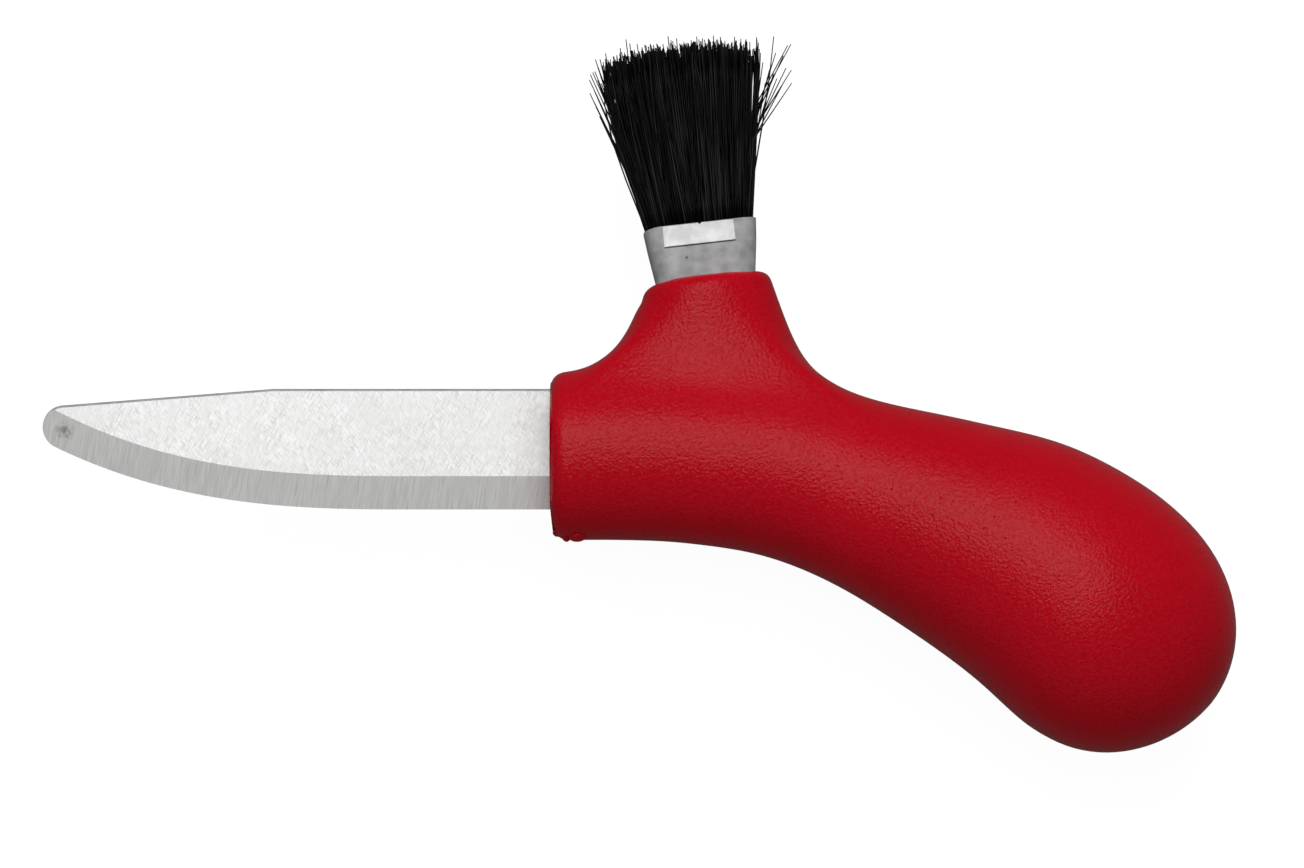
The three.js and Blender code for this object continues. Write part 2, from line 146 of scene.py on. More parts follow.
# %% Sections of the palm
PALM = [
    Vector((0.0, 0.0, 0.0, 20.5, 16.5)),
    Vector((8.4, 0.3, 0.0, 21.0, 17.0)),
    Vector((17.0, 0.0, 2.0, 21.2, 17.6)),
    Vector((27.5, -1.2, 9.0, 22.0, 18.6)),
    Vector((37.2, -4.3, 16.0, 22.9, 20.0)),
    Vector((47.2, -8.1, 20.3, 26.4, 23.0)),
    Vector((57.6, -12.8, 24.6, 30.5, 26.5)),
    Vector((67.1, -19.5, 30.0, 32.3, 28.5)),
]
BUTT_LENGTH, BUTT_ANGLE = 17.05, 36.4
BUTT_TURNS = (16, 32, 47, 61, 73, 82, 87.5)
FRONT_SHARE, PALM_STEPS = 0.032, 26


def butt_section(turn):
    """Sections past the fullest one close in as a round butt; turn goes from 0 to 90 degrees."""
    share = math.sin(math.radians(turn))
    size = math.cos(math.radians(turn))
    x, y, lean, height, depth = PALM[-1]
    x += BUTT_LENGTH * share * math.cos(math.radians(BUTT_ANGLE))
    y -= BUTT_LENGTH * share * math.sin(math.radians(BUTT_ANGLE))
    return Vector((x, y, lean + (BUTT_ANGLE - lean) * share, height * size, depth * size))


def palm_section(share):
    """The section at a share of the way from the front face to the fullest section."""
    knots = [2 * PALM[0] - PALM[1], *PALM, butt_section(30)]
    # It stops just short of the last section, so that four knots are always left.
    place = min(share * (len(PALM) - 1), len(PALM) - 1.0001)
    k = int(place)
    t = place - k
    a, b, c, d = knots[k:k + 4]
    bend = 2 * a - 5 * b + 4 * c - d
    twist = 3 * b - a - 3 * c + d
    return 0.5 * (2 * b + (c - a) * t + bend * t ** 2 + twist * t ** 3)


rings = [palm_section(0.0), palm_section(FRONT_SHARE)]
for step in range(1, PALM_STEPS + 1):
    rings.append(palm_section(FRONT_SHARE + (1 - FRONT_SHARE) * step / PALM_STEPS))
rings += [butt_section(turn) for turn in BUTT_TURNS]
print("palm sections:", len(rings), "length in mm:", round(rings[-1][0], 1))

# %% [markdown]
# The first section is a circle, squared a little so that its sides are flatter than an ellipse's.
# The others are extruded from it one by one, each set upright, resized, leaned and moved to its
# place. With no window open the rotate operator turns clockwise for a positive angle, and it needs
# to be told its centre. Both ends are then filled with a grid of four-sided faces, which
# subdivide without a pinch.

# %% Extrude the palm ring by ring
COLUMNS, SQUARENESS = 40, 2.2
FRONT_ROUND = 1.6
SHARP = 1.0  # radians between two faces
begin()
bpy.ops.mesh.primitive_circle_add(vertices=COLUMNS, radius=1, location=at(0, 0),
                                  rotation=(0, math.pi / 2, 0))
handle = bpy.context.object
handle.name = "palm_handle"
settle(handle)
for vertex in handle.data.vertices:
    out = vertex.co - at(0, 0)
    up, side = (math.copysign(abs(value) ** (2 / SQUARENESS), value) for value in out.yz)
    vertex.co = at(0, up * rings[0][3] / 2, side * rings[0][4] / 2)

edit(handle)
bpy.ops.mesh.select_all(action="SELECT")
for old, new in zip(rings, rings[1:]):
    centre = at(new[0], new[1])
    bpy.ops.mesh.extrude_region_move(TRANSFORM_OT_translate={"value": centre - at(old[0], old[1])})
    bpy.ops.transform.rotate(value=-math.radians(old[2]), orient_axis="Z", center_override=centre)
    bpy.ops.transform.resize(value=(1, new[3] / old[3], new[4] / old[4]), center_override=centre)
    bpy.ops.transform.rotate(value=math.radians(new[2]), orient_axis="Z", center_override=centre)
bpy.ops.mesh.fill_grid(span=COLUMNS // 4)
pick(handle, "edges", lambda edge: edge.is_boundary)
bpy.ops.mesh.fill_grid(span=COLUMNS // 4)
bpy.ops.mesh.select_all(action="SELECT")
bpy.ops.mesh.normals_make_consistent(inside=False)
count = pick(handle, "edges", lambda edge: edge.calc_face_angle(0) > SHARP)
bpy.ops.mesh.bevel(offset=FRONT_ROUND * MM, segments=3)
print("edges rounded at the front:", count)

# %% [markdown]
# The collar grows out of the palm in one sweep, with no seam. Two bodies could be joined and their
# corner rounded, but a corner that changes its radius all the way round is hard to bevel. So a patch
# of the palm's back is opened, and its border is extruded row by row. Each point of the border
# climbs its own Bezier curve, which leaves the palm along its skin and arrives at the rim, upright
# on the broad sides and leaning inwards at the two ends.

# %% Open the palm's back
COLLAR_X, COLLAR_TOP, BRUSH_LEAN = 18.95, 21.95, math.radians(6.4)
HALF_WIDTH, HALF_DEPTH, COLLAR_ROUND = 8.1, 5.8, 1.5
PATCH_BACK, PATCH_TURN = 39.9, 52
brush_up = Vector((-math.sin(BRUSH_LEAN), math.cos(BRUSH_LEAN), 0))
brush_along = Vector((math.cos(BRUSH_LEAN), math.sin(BRUSH_LEAN), 0))
brush_axes = Matrix.Rotation(BRUSH_LEAN, 3, "Z")
patch_last = max(k for k, section in enumerate(rings) if section[0] < PATCH_BACK)


def on_brush(along, up, across=0.0):
    """A point on the brush: along its broad side, up its axis from the collar's rim, and across."""
    return at(COLLAR_X, COLLAR_TOP, across) + (brush_along * along + brush_up * up) * MM


def ahead(section, spot):
    """How far a spot lies past a section's plane."""
    lean = math.radians(section[2])
    return (spot.x - section[0]) * math.cos(lean) - (spot.y - section[1]) * math.sin(lean)


def on_patch(face):
    """True for the faces of the palm's back that make way for the collar."""
    spot = (face.calc_center_median() - zero) / MM
    if ahead(rings[1], spot) < 0 or ahead(rings[patch_last], spot) > 0:
        return False
    section = min(rings, key=lambda ring: abs(ahead(ring, spot)))
    lean = math.radians(section[2])
    up = (spot.x - section[0]) * math.sin(lean) + (spot.y - section[1]) * math.cos(lean)
    return math.degrees(math.atan2(abs(spot.z) / section[4], up / section[3])) < PATCH_TURN


edit(handle)
opened = pick(handle, "faces", on_patch)
mesh = bmesh.from_edit_mesh(handle.data)
skin = {vertex.co.to_tuple(7): vertex.normal.copy() for vertex in mesh.verts if vertex.select}
bpy.ops.mesh.delete(type="FACE")
border_edges = pick(handle, "edges", lambda edge: edge.is_boundary)
print("faces opened:", opened, "border edges:", border_edges)

# %% Raise the wall of the collar
FLARE = math.radians(19)
SWEEP_FRONT, SWEEP_BACK, SWEEP_LESS_AT_SIDES = 0.4, 0.52, 0.45
WALL_ROWS = 9


def climb(spot, out, reach):
    """The four points of the curve that a border point climbs to the rim."""
    away = (spot - on_brush(0, 0)) / MM
    along = away.dot(brush_along) / (reach[1] if away.dot(brush_along) > 0 else reach[0])
    turn = math.atan2(away.z / reach[2], along)
    top = on_brush(HALF_WIDTH * math.cos(turn), -COLLAR_ROUND, HALF_DEPTH * math.sin(turn))
    outward = brush_along * math.cos(turn) + Vector((0, 0, math.sin(turn)))
    flare = FLARE * math.cos(turn) ** 2
    rise = Vector((0, math.cos(flare), 0)) - outward * math.sin(flare)
    inward = top - spot
    inward = (inward - out * inward.dot(out)).normalized()
    sweep = SWEEP_FRONT + (SWEEP_BACK - SWEEP_FRONT) * (1 + math.cos(turn)) / 2
    sweep *= 1 - SWEEP_LESS_AT_SIDES * math.sin(turn) ** 2
    span = sweep * (top - spot).length
    return spot, spot + inward * span, top - rise * span, top


mesh = bmesh.from_edit_mesh(handle.data)
border = [vertex for vertex in mesh.verts if vertex.select]
spots = [(vertex.co - on_brush(0, 0)) / MM for vertex in border]
along_brush = [spot.dot(brush_along) for spot in spots]
reach = (-min(along_brush), max(along_brush), max(spot.z for spot in spots))
curves = {}
for vertex in border:
    key = vertex.co.to_tuple(7)
    curves[key] = climb(vertex.co.copy(), skin[key], reach)
for row in range(1, WALL_ROWS + 1):
    bpy.ops.mesh.extrude_region_move()
    mesh = bmesh.from_edit_mesh(handle.data)
    t = row / WALL_ROWS
    climbed = {}
    for vertex in (vertex for vertex in mesh.verts if vertex.select):
        others = [edge.other_vert(vertex) for edge in vertex.link_edges]
        below = next(other for other in others if not other.select)
        curve = curves[below.co.to_tuple(7)]
        foot, leave, arrive, top = curve
        lower_half = foot * (1 - t) ** 3 + 3 * leave * t * (1 - t) ** 2
        vertex.co = lower_half + 3 * arrive * t * t * (1 - t) + top * t ** 3
        climbed[vertex.co.to_tuple(7)] = curve
    curves = climbed
    bmesh.update_edit_mesh(handle.data)
print("rows in the collar's wall:", WALL_ROWS)

# %% [markdown]
# The wall is still open at the top. Three more extrusions turn it over as a rounded rim, one
# runs inwards as the flat top, and the last goes down as the socket in which the ferrule stands. A
# resize along a leaning direction needs that direction's matrix, because the collar leans a little
# towards the blade.

# %% Rim and socket of the collar
RIM_TURNS, RIM_FLAT, SOCKET_DEPTH = (30, 60, 90), 0.9, 7.0


def resize_ring(wide, deep, centre):
    """Scales what is selected across the brush's own axis."""
    bpy.ops.transform.resize(value=(wide, 1, deep), orient_type="GLOBAL", orient_matrix=brush_axes,
                             orient_matrix_type="GLOBAL", center_override=centre)


rim_rows = []
for turn in map(math.radians, RIM_TURNS):
    rim_rows.append((COLLAR_ROUND * (1 - math.cos(turn)), COLLAR_ROUND * (math.sin(turn) - 1)))
rim_rows += [(COLLAR_ROUND + RIM_FLAT, 0.0), (COLLAR_ROUND + RIM_FLAT, -SOCKET_DEPTH)]
pick(handle, "edges", lambda edge: edge.is_boundary)
inset, height = 0.0, -COLLAR_ROUND
for next_inset, next_height in rim_rows:
    centre = at(COLLAR_X, COLLAR_TOP) + brush_up * next_height * MM
    step_up = brush_up * (next_height - height) * MM
    bpy.ops.mesh.extrude_region_move(TRANSFORM_OT_translate={"value": step_up})
    resize_ring((HALF_WIDTH - next_inset) / (HALF_WIDTH - inset),
                (HALF_DEPTH - next_inset) / (HALF_DEPTH - inset), centre)
    inset, height = next_inset, next_height
bpy.ops.mesh.edge_face_add()
bpy.ops.mesh.select_all(action="SELECT")
bpy.ops.mesh.normals_make_consistent(inside=False)
print("rows in the rim and socket:", len(rim_rows))

# %% [markdown]
# The real moulding isn't quite even. Its rim sinks a little at the end towards the blade, and its front
# face leans back at the lower corner. Both are put in while the mesh is still coarse, and the
# subdivision then smooths them with the rest.

# %% Uneven rim and corner
RIM_SINK, SINK_FROM, SINK_SPAN = 0.45, 3.0, 4.0
CORNER_LEAN, CORNER_FROM, CORNER_SPAN, CORNER_DEPTH = 0.37, -6.3, 3.2, 1.7
for vertex in bmesh.from_edit_mesh(handle.data).verts:
    spot = (vertex.co - on_brush(0, 0)) / MM
    if spot.dot(brush_up) > -COLLAR_ROUND - 0.1:
        beyond = max(0.0, -spot.dot(brush_along) - SINK_FROM)
        vertex.co -= brush_up * MM * RIM_SINK * (beyond / SINK_SPAN) ** 2
    spot = (vertex.co - zero) / MM
    if spot.x < CORNER_DEPTH and spot.y < CORNER_FROM:
        vertex.co.x += MM * CORNER_LEAN * (CORNER_FROM - spot.y) / CORNER_SPAN
use_modifier(handle, "SUBSURF", levels=2, render_levels=2)
print("handle faces:", len(handle.data.polygons))

# %% [markdown]
# Moulding leaves a trace where the plastic ran in: a small round stub under the front corner, with a
# torn point and a little lip beside it. They are flattened balls, each with a middle, a size and a
# lean. They are sunk in the handle and made one with it by a Boolean union, so that the handle
# stays a single closed skin.

# %% Stub left by the mould
STUB_SHAPES = [
    ((3.3, -9.7, 1.6), (1.25, 0.85, 1.45), 0),
    ((1.9, -9.75, 1.3), (0.55, 0.8, 0.8), 20),
    ((1.25, -9.45, 1.0), (1.0, 0.45, 1.0), -37),
    ((0.85, -9.4, 0.8), (0.55, 0.46, 1.0), -20),
]
stubs = []
for middle, size, lean in STUB_SHAPES:
    begin()
    bpy.ops.mesh.primitive_uv_sphere_add(segments=16, ring_count=10, radius=MM, location=at(*middle),
                                         rotation=(0, 0, math.radians(lean)), scale=size)
    stub = bpy.context.object
    settle(stub)
    stubs.append(stub)
for stub in stubs:
    use_modifier(handle, "BOOLEAN", operation="UNION", object=stub, solver="EXACT")
    bpy.data.objects.remove(stub)
smooth(handle, 40)
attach(handle, "root")
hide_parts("handle")
print("handle faces with the stub:", len(handle.data.polygons))

# %% [markdown]
# ## The blade
# The blade is a short strip of rolled steel, ground on both faces to a thin edge, with a round nose
# that can't stab. Its outline could be drawn as a curve and extruded, but a grinder takes flat cuts
# off a blank, and Bisect does the same: it cuts a mesh along a plane, drops what lies outside and
# closes the cut. A row of cuts, each turned a little, gives the curved belly and the nose.

# %% Outline of the blade
BLADE_LENGTH, BLADE_THICKNESS, EDGE_THICKNESS = 61.9, 1.9, 0.1
SPINE_STRAIGHT, SPINE_DROP = 33.7, math.radians(4.5)
NOSE_RADIUS, BELLY_START, BELLY_POWER = 2.65, -17.0, 2.75
BELLY_CUTS, NOSE_CUTS, CROWDING = 30, 18, 0.7
FIRST_SLOPE, ROUNDS = 0.45, 20
nose_x = -BLADE_LENGTH + NOSE_RADIUS
spine_at_nose = SPINE_Y - math.tan(SPINE_DROP) * (-SPINE_STRAIGHT - nose_x)
nose_y = spine_at_nose - NOSE_RADIUS / math.cos(SPINE_DROP)
# Where the belly meets the nose depends on its slope there, and the other way round, so both are
# found by repeating.
nose_slope = FIRST_SLOPE
for _ in range(ROUNDS):
    nose_turn = math.atan(nose_slope)
    belly_end = nose_x - NOSE_RADIUS * math.sin(nose_turn)
    belly_rise = nose_y - NOSE_RADIUS * math.cos(nose_turn) - EDGE_Y
    nose_slope = BELLY_POWER * belly_rise / (BELLY_START - belly_end)

belly_cuts = []
for step in range(BELLY_CUTS):
    share = ((step + 1) / BELLY_CUTS) ** CROWDING
    x = BELLY_START + (belly_end - BELLY_START) * share
    y = EDGE_Y + belly_rise * share ** BELLY_POWER
    slope = -nose_slope * share ** (BELLY_POWER - 1)
    belly_cuts.append((x, y, Vector((slope, -1)).normalized()))
nose_cuts = []
first = math.radians(270) - nose_turn
last = math.radians(90) + SPINE_DROP
for step in range(1, NOSE_CUTS):
    angle = first + (last - first) * step / NOSE_CUTS
    out = Vector((math.cos(angle), math.sin(angle)))
    nose_cuts.append((nose_x + NOSE_RADIUS * out.x, nose_y + NOSE_RADIUS * out.y, out))
spine_cut = (-SPINE_STRAIGHT, SPINE_Y, Vector((-math.sin(SPINE_DROP), math.cos(SPINE_DROP))))
print("belly meets the nose at x", round(belly_end, 2), "slope", round(nose_slope, 3))

# %% Cut the blank
ROOT_LENGTH = 6.0
middle = at((ROOT_LENGTH - BLADE_LENGTH) / 2, (SPINE_Y + EDGE_Y) / 2)
begin()
bpy.ops.mesh.primitive_cube_add(size=MM, location=middle,
                                scale=(BLADE_LENGTH + ROOT_LENGTH, BLADE_HEIGHT, BLADE_THICKNESS))
blade = bpy.context.object
blade.name = "ground_blade"
settle(blade)
edit(blade)


def cut_away(x, y, z, normal):
    """Grinds off all that lies outside a plane."""
    bpy.ops.mesh.select_all(action="SELECT")
    bpy.ops.mesh.bisect(plane_co=at(x, y, z), plane_no=Vector(normal).normalized(), use_fill=True,
                        clear_outer=True, threshold=1e-8)


for x, y, out in [spine_cut, *nose_cuts, *belly_cuts]:
    cut_away(x, y, 0, (out.x, out.y, 0))
print("faces after the outline:", len(bmesh.from_edit_mesh(blade.data).faces))

# %% [markdown]
# The spine's edges are broken with a narrow chamfer before the edge is ground. Only the long one that
# lies towards the table stays sharp. The grind itself is a flat bevel four millimetres wide on each
# face. Every belly cut gets a second cut that leans back by the bevel's slope. The last one runs
# straight on over the nose, which therefore keeps some thickness and stays blunt.

# %% Chamfer the spine and grind the bevels
BEVEL_WIDTH, SPINE_CHAMFER = 4.0, 0.3
CHAMFER_END = nose_y - 0.6
NEAR = 0.01


def on_spine(edge):
    """True for the edges along the spine and over the top of the nose, but not the long one below."""
    a, b = ((vertex.co - zero) / MM for vertex in edge.verts)
    along = abs(a.z - b.z) < NEAR and abs(abs(a.z) - BLADE_THICKNESS / 2) < NEAR
    long_one_below = a.z < 0 and max(a.x, b.x) > ROOT_LENGTH - NEAR
    return along and min(a.y, b.y) > CHAMFER_END and not long_one_below


chamfered = pick(blade, "edges", on_spine)
bpy.ops.mesh.bevel(offset=SPINE_CHAMFER * MM, segments=2)
lift = (BLADE_THICKNESS - EDGE_THICKNESS) / 2
edge_cuts = [(0.0, EDGE_Y, Vector((0, -1))), *belly_cuts]
for x, y, out in edge_cuts:
    for side in (1, -1):
        cut_away(x, y, side * EDGE_THICKNESS / 2, (out.x * lift, out.y * lift, side * BEVEL_WIDTH))
print("edges chamfered:", chamfered, "faces:", len(bmesh.from_edit_mesh(blade.data).faces))

# %% [markdown]
# Behind the front face the steel narrows to a tang that holds it in the plastic. It can't be seen, but
# a blade without one would be wrong inside, so the rear face is inset and extruded. The faces are
# then sorted into finishes by how they face: rolled flats look up or down, the ground bevels lean,
# and the narrow rest is the spine.

# %% Tang and finishes of the blade
TANG_LENGTH, TANG_Y, TANG_HEIGHT_SHARE, TANG_TAPER = 34.0, 2.0, 0.45, 0.8
SHOULDER = 0.2
FLAT, GROUND, SPINE = 0, 1, 2
FLAT_TILT, GROUND_TILT = 0.995, 0.95
count = pick(blade, "faces", lambda face: face.normal.x > 0.99)
bpy.ops.mesh.inset(thickness=SHOULDER * MM)
bpy.ops.transform.resize(value=(1, TANG_HEIGHT_SHARE, 1), center_override=at(ROOT_LENGTH, TANG_Y))
bpy.ops.mesh.extrude_region_move(TRANSFORM_OT_translate={"value": (TANG_LENGTH * MM, 0, 0)})
bpy.ops.transform.resize(value=(1, TANG_TAPER, 1), center_override=at(ROOT_LENGTH + TANG_LENGTH, TANG_Y))
smooth(blade, 8)
for face in blade.data.polygons:
    tilt = abs(face.normal.z)
    face.material_index = FLAT if tilt > FLAT_TILT else GROUND if tilt > GROUND_TILT else SPINE
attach(blade, "root")
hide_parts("blade")
print("rear faces:", count, "blade faces:", len(blade.data.polygons))

# %% [markdown]
# ## The ferrule
# The brush is held by a short aluminium tube. Its heel is an oblong with round corners. Its mouth is
# wider, and pressed flatter between two jaws, which leaves a flat facet on each broad side; its
# brightness is a painted highlight. A circle makes a poor start for a tube with flat sides, unless
# its quarters are moved apart: each keeps its round corner and flat runs open between them. The
# other rings are extruded from that one and resized. Each has its height above the collar's rim,
# its width and its depth.

# %% Rings of the ferrule
CREASE_LOW, CREASE_HIGH, MOUTH_UP = 3.68, 3.9, 6.55
FERRULE_RINGS = [
    (-7.8, 12.3, 7.9),
    (0.0, 12.3, 7.9),
    (3.45, 13.28, 7.5),
    (CREASE_LOW, 13.34, 7.45),
    (CREASE_HIGH, 13.4, 7.2),
    (MOUTH_UP, 13.9, 6.1),
]
FERRULE_CORNER, FERRULE_COLUMNS = 2.5, 32
begin()
up, wide, deep = FERRULE_RINGS[0]
heel = on_brush(0, up)
bpy.ops.mesh.primitive_circle_add(vertices=FERRULE_COLUMNS, radius=FERRULE_CORNER * MM, location=heel,
                                  rotation=(-math.pi / 2, 0, BRUSH_LEAN))
ferrule = bpy.context.object
ferrule.name = "brush_ferrule_tube"
settle(ferrule)
edit(ferrule)
bpy.ops.mesh.select_all(action="SELECT")
# Half a column's turn leaves no point on the lines where the quarters part.
bpy.ops.transform.rotate(value=math.pi / FERRULE_COLUMNS, orient_axis="Y", orient_type="GLOBAL",
                         orient_matrix=brush_axes, orient_matrix_type="GLOBAL", center_override=heel)
for side in (1, -1):
    pick(ferrule, "verts", lambda vertex: side * (vertex.co - heel).dot(brush_along) > 0)
    bpy.ops.transform.translate(value=brush_along * side * (wide / 2 - FERRULE_CORNER) * MM)
    pick(ferrule, "verts", lambda vertex: side * (vertex.co.z - zero.z) > 0)
    bpy.ops.transform.translate(value=(0, 0, side * (deep / 2 - FERRULE_CORNER) * MM))
bpy.ops.mesh.select_all(action="SELECT")
for next_up, next_wide, next_deep in FERRULE_RINGS[1:]:
    bpy.ops.mesh.extrude_region_move(TRANSFORM_OT_translate={"value": brush_up * (next_up - up) * MM})
    resize_ring(next_wide / wide, next_deep / deep, on_brush(0, next_up))
    up, wide, deep = next_up, next_wide, next_deep
print("ferrule rings:", len(FERRULE_RINGS), "faces:", len(bmesh.from_edit_mesh(ferrule.data).faces))

# %% [markdown]
# There is a small nick in the middle of the mouth, and the mouth's end towards the blade is a little
# lower. Cuts along the tube give the facets their ends and the nick its points. Solidify then gives
# the sheet its thickness inwards, and a small bevel takes the sharpness off the mouth. Only then is
# the end lowered, because a bevel on a mouth that isn't level makes spikes.

# %% Nick, wall and mouth of the ferrule
FACET_START, FACET_END = -4.6, 4.1
NICK_HALF, NICK_DEPTH, NICK_BULGE = 0.2, 0.25, 0.05
SHEET, MOUTH_ROUND = 0.45, 0.1
END_DROP, END_SPAN, END_HEIGHT = 0.35, 2.3, 0.6
bpy.ops.mesh.select_all(action="SELECT")
bpy.ops.mesh.normals_make_consistent(inside=False)
for along in (FACET_START, -NICK_HALF, 0.0, NICK_HALF, FACET_END):
    bpy.ops.mesh.select_all(action="SELECT")
    bpy.ops.mesh.bisect(plane_co=on_brush(along, 0), plane_no=brush_along, threshold=1e-8)


def nick(vertex):
    """The middle of the mouth on the broad side that faces up."""
    spot = (vertex.co - on_brush(0, MOUTH_UP)) / MM
    return abs(spot.dot(brush_along)) < NEAR and spot.dot(brush_up) > -NEAR and spot.z > 0


pick(ferrule, "verts", nick)
bpy.ops.transform.translate(value=(brush_up * -NICK_DEPTH + Vector((0, 0, NICK_BULGE))) * MM)
use_modifier(ferrule, "SOLIDIFY", thickness=SHEET * MM, offset=-1, use_even_offset=True)
edit(ferrule)


def at_mouth(edge):
    """Edges all round the mouth, outside and inside."""
    return all((vertex.co - on_brush(0, MOUTH_UP - 1)).dot(brush_up) > 0 for vertex in edge.verts)


pick(ferrule, "edges", lambda edge: at_mouth(edge) and edge.calc_face_angle(0) > SHARP)
bpy.ops.mesh.bevel(offset=MOUTH_ROUND * MM, segments=2)
for vertex in bmesh.from_edit_mesh(ferrule.data).verts:
    spot = (vertex.co - on_brush(0, MOUTH_UP)) / MM
    if spot.dot(brush_up) > -END_HEIGHT:
        beyond = max(0.0, FACET_START - spot.dot(brush_along))
        vertex.co -= brush_up * MM * END_DROP * (beyond / END_SPAN) ** 2
smooth(ferrule, 14)
# Slots: the plain tube, the facets with their painted highlight, and the crease with its painted shade.
DRAWN, PRESSED_HIGHLIT, SHADED_CREASE = 0, 1, 2
for face in ferrule.data.polygons:
    spot = (face.center - on_brush(0, 0)) / MM
    up = spot.dot(brush_up)
    broad = FACET_START < spot.dot(brush_along) < FACET_END
    if up < CREASE_LOW or not broad:
        face.material_index = DRAWN
    else:
        face.material_index = SHADED_CREASE if up < CREASE_HIGH else PRESSED_HIGHLIT
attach(ferrule, "root")
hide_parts("brush_ferrule")
print("ferrule faces:", len(ferrule.data.polygons))

# %% [markdown]
# ## The bristles
# The tuft is about a thousand stiff black bristles, set close together in resin. They open out like a
# fan, their tips are cut unevenly, and a few at the ends stray or have been bent by use. Hair would
# draw them, but a mesh can be kept and printed. So a few bristles are modelled once, with more or
# less bow or with an elbow, and then copied many times. Each has only a few dozen faces.

# %% Bristles to copy
BRISTLE_RADIUS, BRISTLE_SIDES, BRISTLE_TAPER = 0.105, 5, 0.4
BOWS = (0.0, 0.25, 0.55, 0.9, 1.3)
ELBOWS = (0.4, 0.9, 1.5, 2.1, 2.7)
LOW_BEND, HIGH_BEND = 0.42, 0.62
BRISTLE_RINGS = (0.22, LOW_BEND, HIGH_BEND, 0.82)
BOW_SCALE = 6.75  # brings the highest point of share squared times the rest to one


def model_bristle(name, bow, elbow=0.0, bend=LOW_BEND):
    """One bristle, a millimetre long along y, bowed or bent towards x by so many millimetres."""
    begin()
    bpy.ops.mesh.primitive_cylinder_add(vertices=BRISTLE_SIDES, radius=BRISTLE_RADIUS * MM, depth=MM,
                                        end_fill_type="TRIFAN", location=(0, MM / 2, 0),
                                        rotation=(-math.pi / 2, 0, 0))
    bristle = bpy.context.object
    bristle.name = name
    settle(bristle)
    edit(bristle)
    for share in BRISTLE_RINGS:
        bpy.ops.mesh.select_all(action="SELECT")
        bpy.ops.mesh.bisect(plane_co=(0, share * MM, 0), plane_no=(0, 1, 0), threshold=1e-8)
    for share in (*BRISTLE_RINGS, 1.0):
        pick(bristle, "verts", lambda vertex: abs(vertex.co.y - share * MM) < NEAR * MM)
        aside = bow * BOW_SCALE * share ** 2 * (1 - share)
        aside += elbow * min(share / bend, (1 - share) / (1 - bend))
        bpy.ops.transform.translate(value=(aside * MM, 0, 0))
        thin = 1 - BRISTLE_TAPER * share ** 3
        bpy.ops.transform.resize(value=(thin, 1, thin), center_override=(aside * MM, share * MM, 0))
    begin()
    return bristle


def nearest(masters, amounts, wanted):
    """The modelled bristle whose bow or elbow is nearest to the one wanted."""
    return min(zip(masters, amounts), key=lambda pair: abs(pair[1] - wanted))[0]


bowed = [model_bristle("bowed_bristle", bow) for bow in BOWS]
bent = {}
for bend in (LOW_BEND, HIGH_BEND):
    bent[bend] = [model_bristle("bent_bristle", 0, elbow, bend) for elbow in ELBOWS]
print("faces in one bristle:", len(bowed[0].data.polygons))

# %% [markdown]
# A seeded random grid fills the ferrule's mouth, so the tuft comes out the same on every run. Each
# bristle is turned from its root to its tip and stretched to its length, and none may end above
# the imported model's bristles. Where it bows to is chosen too: near the end towards the blade the
# bristles bow outwards, and elsewhere they bow any way. Some on the upper side lean far to one
# side, and cross their neighbours.

# %% Place the tuft
ROOT_UP, TIP_UP, TOP_MARGIN = 3.1, 28.7, 0.1
MOUTH_HALF, MOUTH_DEEP, MOUTH_MARGIN = 6.15, 2.45, 0.1
PITCH, ROW_PITCH, JITTER = 0.24, 0.87, 0.08
ROWS, COLUMNS_EACH_WAY = 11, 27
FAN_ALONG, FAN_ACROSS = 1.54, 1.5
UNEVEN, CLUMPED, LONGER_CHANCE, LONGER_BY = 1.6, 0.45, 0.06, (0.3, 1.5)
CROSS_ABOVE, CROSS_WITHIN, CROSS_CHANCE = 0.7, 0.8, 0.5
LEAN_FAR, LEAN_LITTLE, LEAN_ACROSS = 1.6, 0.45, 0.5
OUTWARD_BOW, LEAST_OUTWARD, BOW_CHANGE, MOST_BOW = 1.1, 0.15, (-0.3, 0.1), 0.5
bundles = [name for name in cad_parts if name.startswith("bristles")]
top_limit = max(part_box(name)[1][1] for name in bundles) - TOP_MARGIN * MM
chance = random.Random(11)
strands = []


def plant(master, root, tip, towards):
    """Copies a bristle from its root to its tip, bowing towards a direction."""
    axis = tip - root
    if tip.y > top_limit:
        axis *= (top_limit - root.y) / axis.y
    length = axis.length
    axis.normalize()
    side = (towards - axis * towards.dot(axis)).normalized()
    place = Matrix((side, axis, side.cross(axis))).transposed().to_4x4()
    strand = master.copy()
    strand.data = master.data.copy()
    # A random number per bristle, which the material uses to paint a grey sheen on some of them.
    shade = strand.data.attributes.new("strand_sheen", "FLOAT", "POINT")
    shade.data.foreach_set("value", [chance.random()] * len(strand.data.vertices))
    strand.matrix_world = Matrix.Translation(root) @ place @ Matrix.Diagonal((1, length / MM, 1, 1))
    bpy.context.collection.objects.link(strand)
    strands.append(strand)


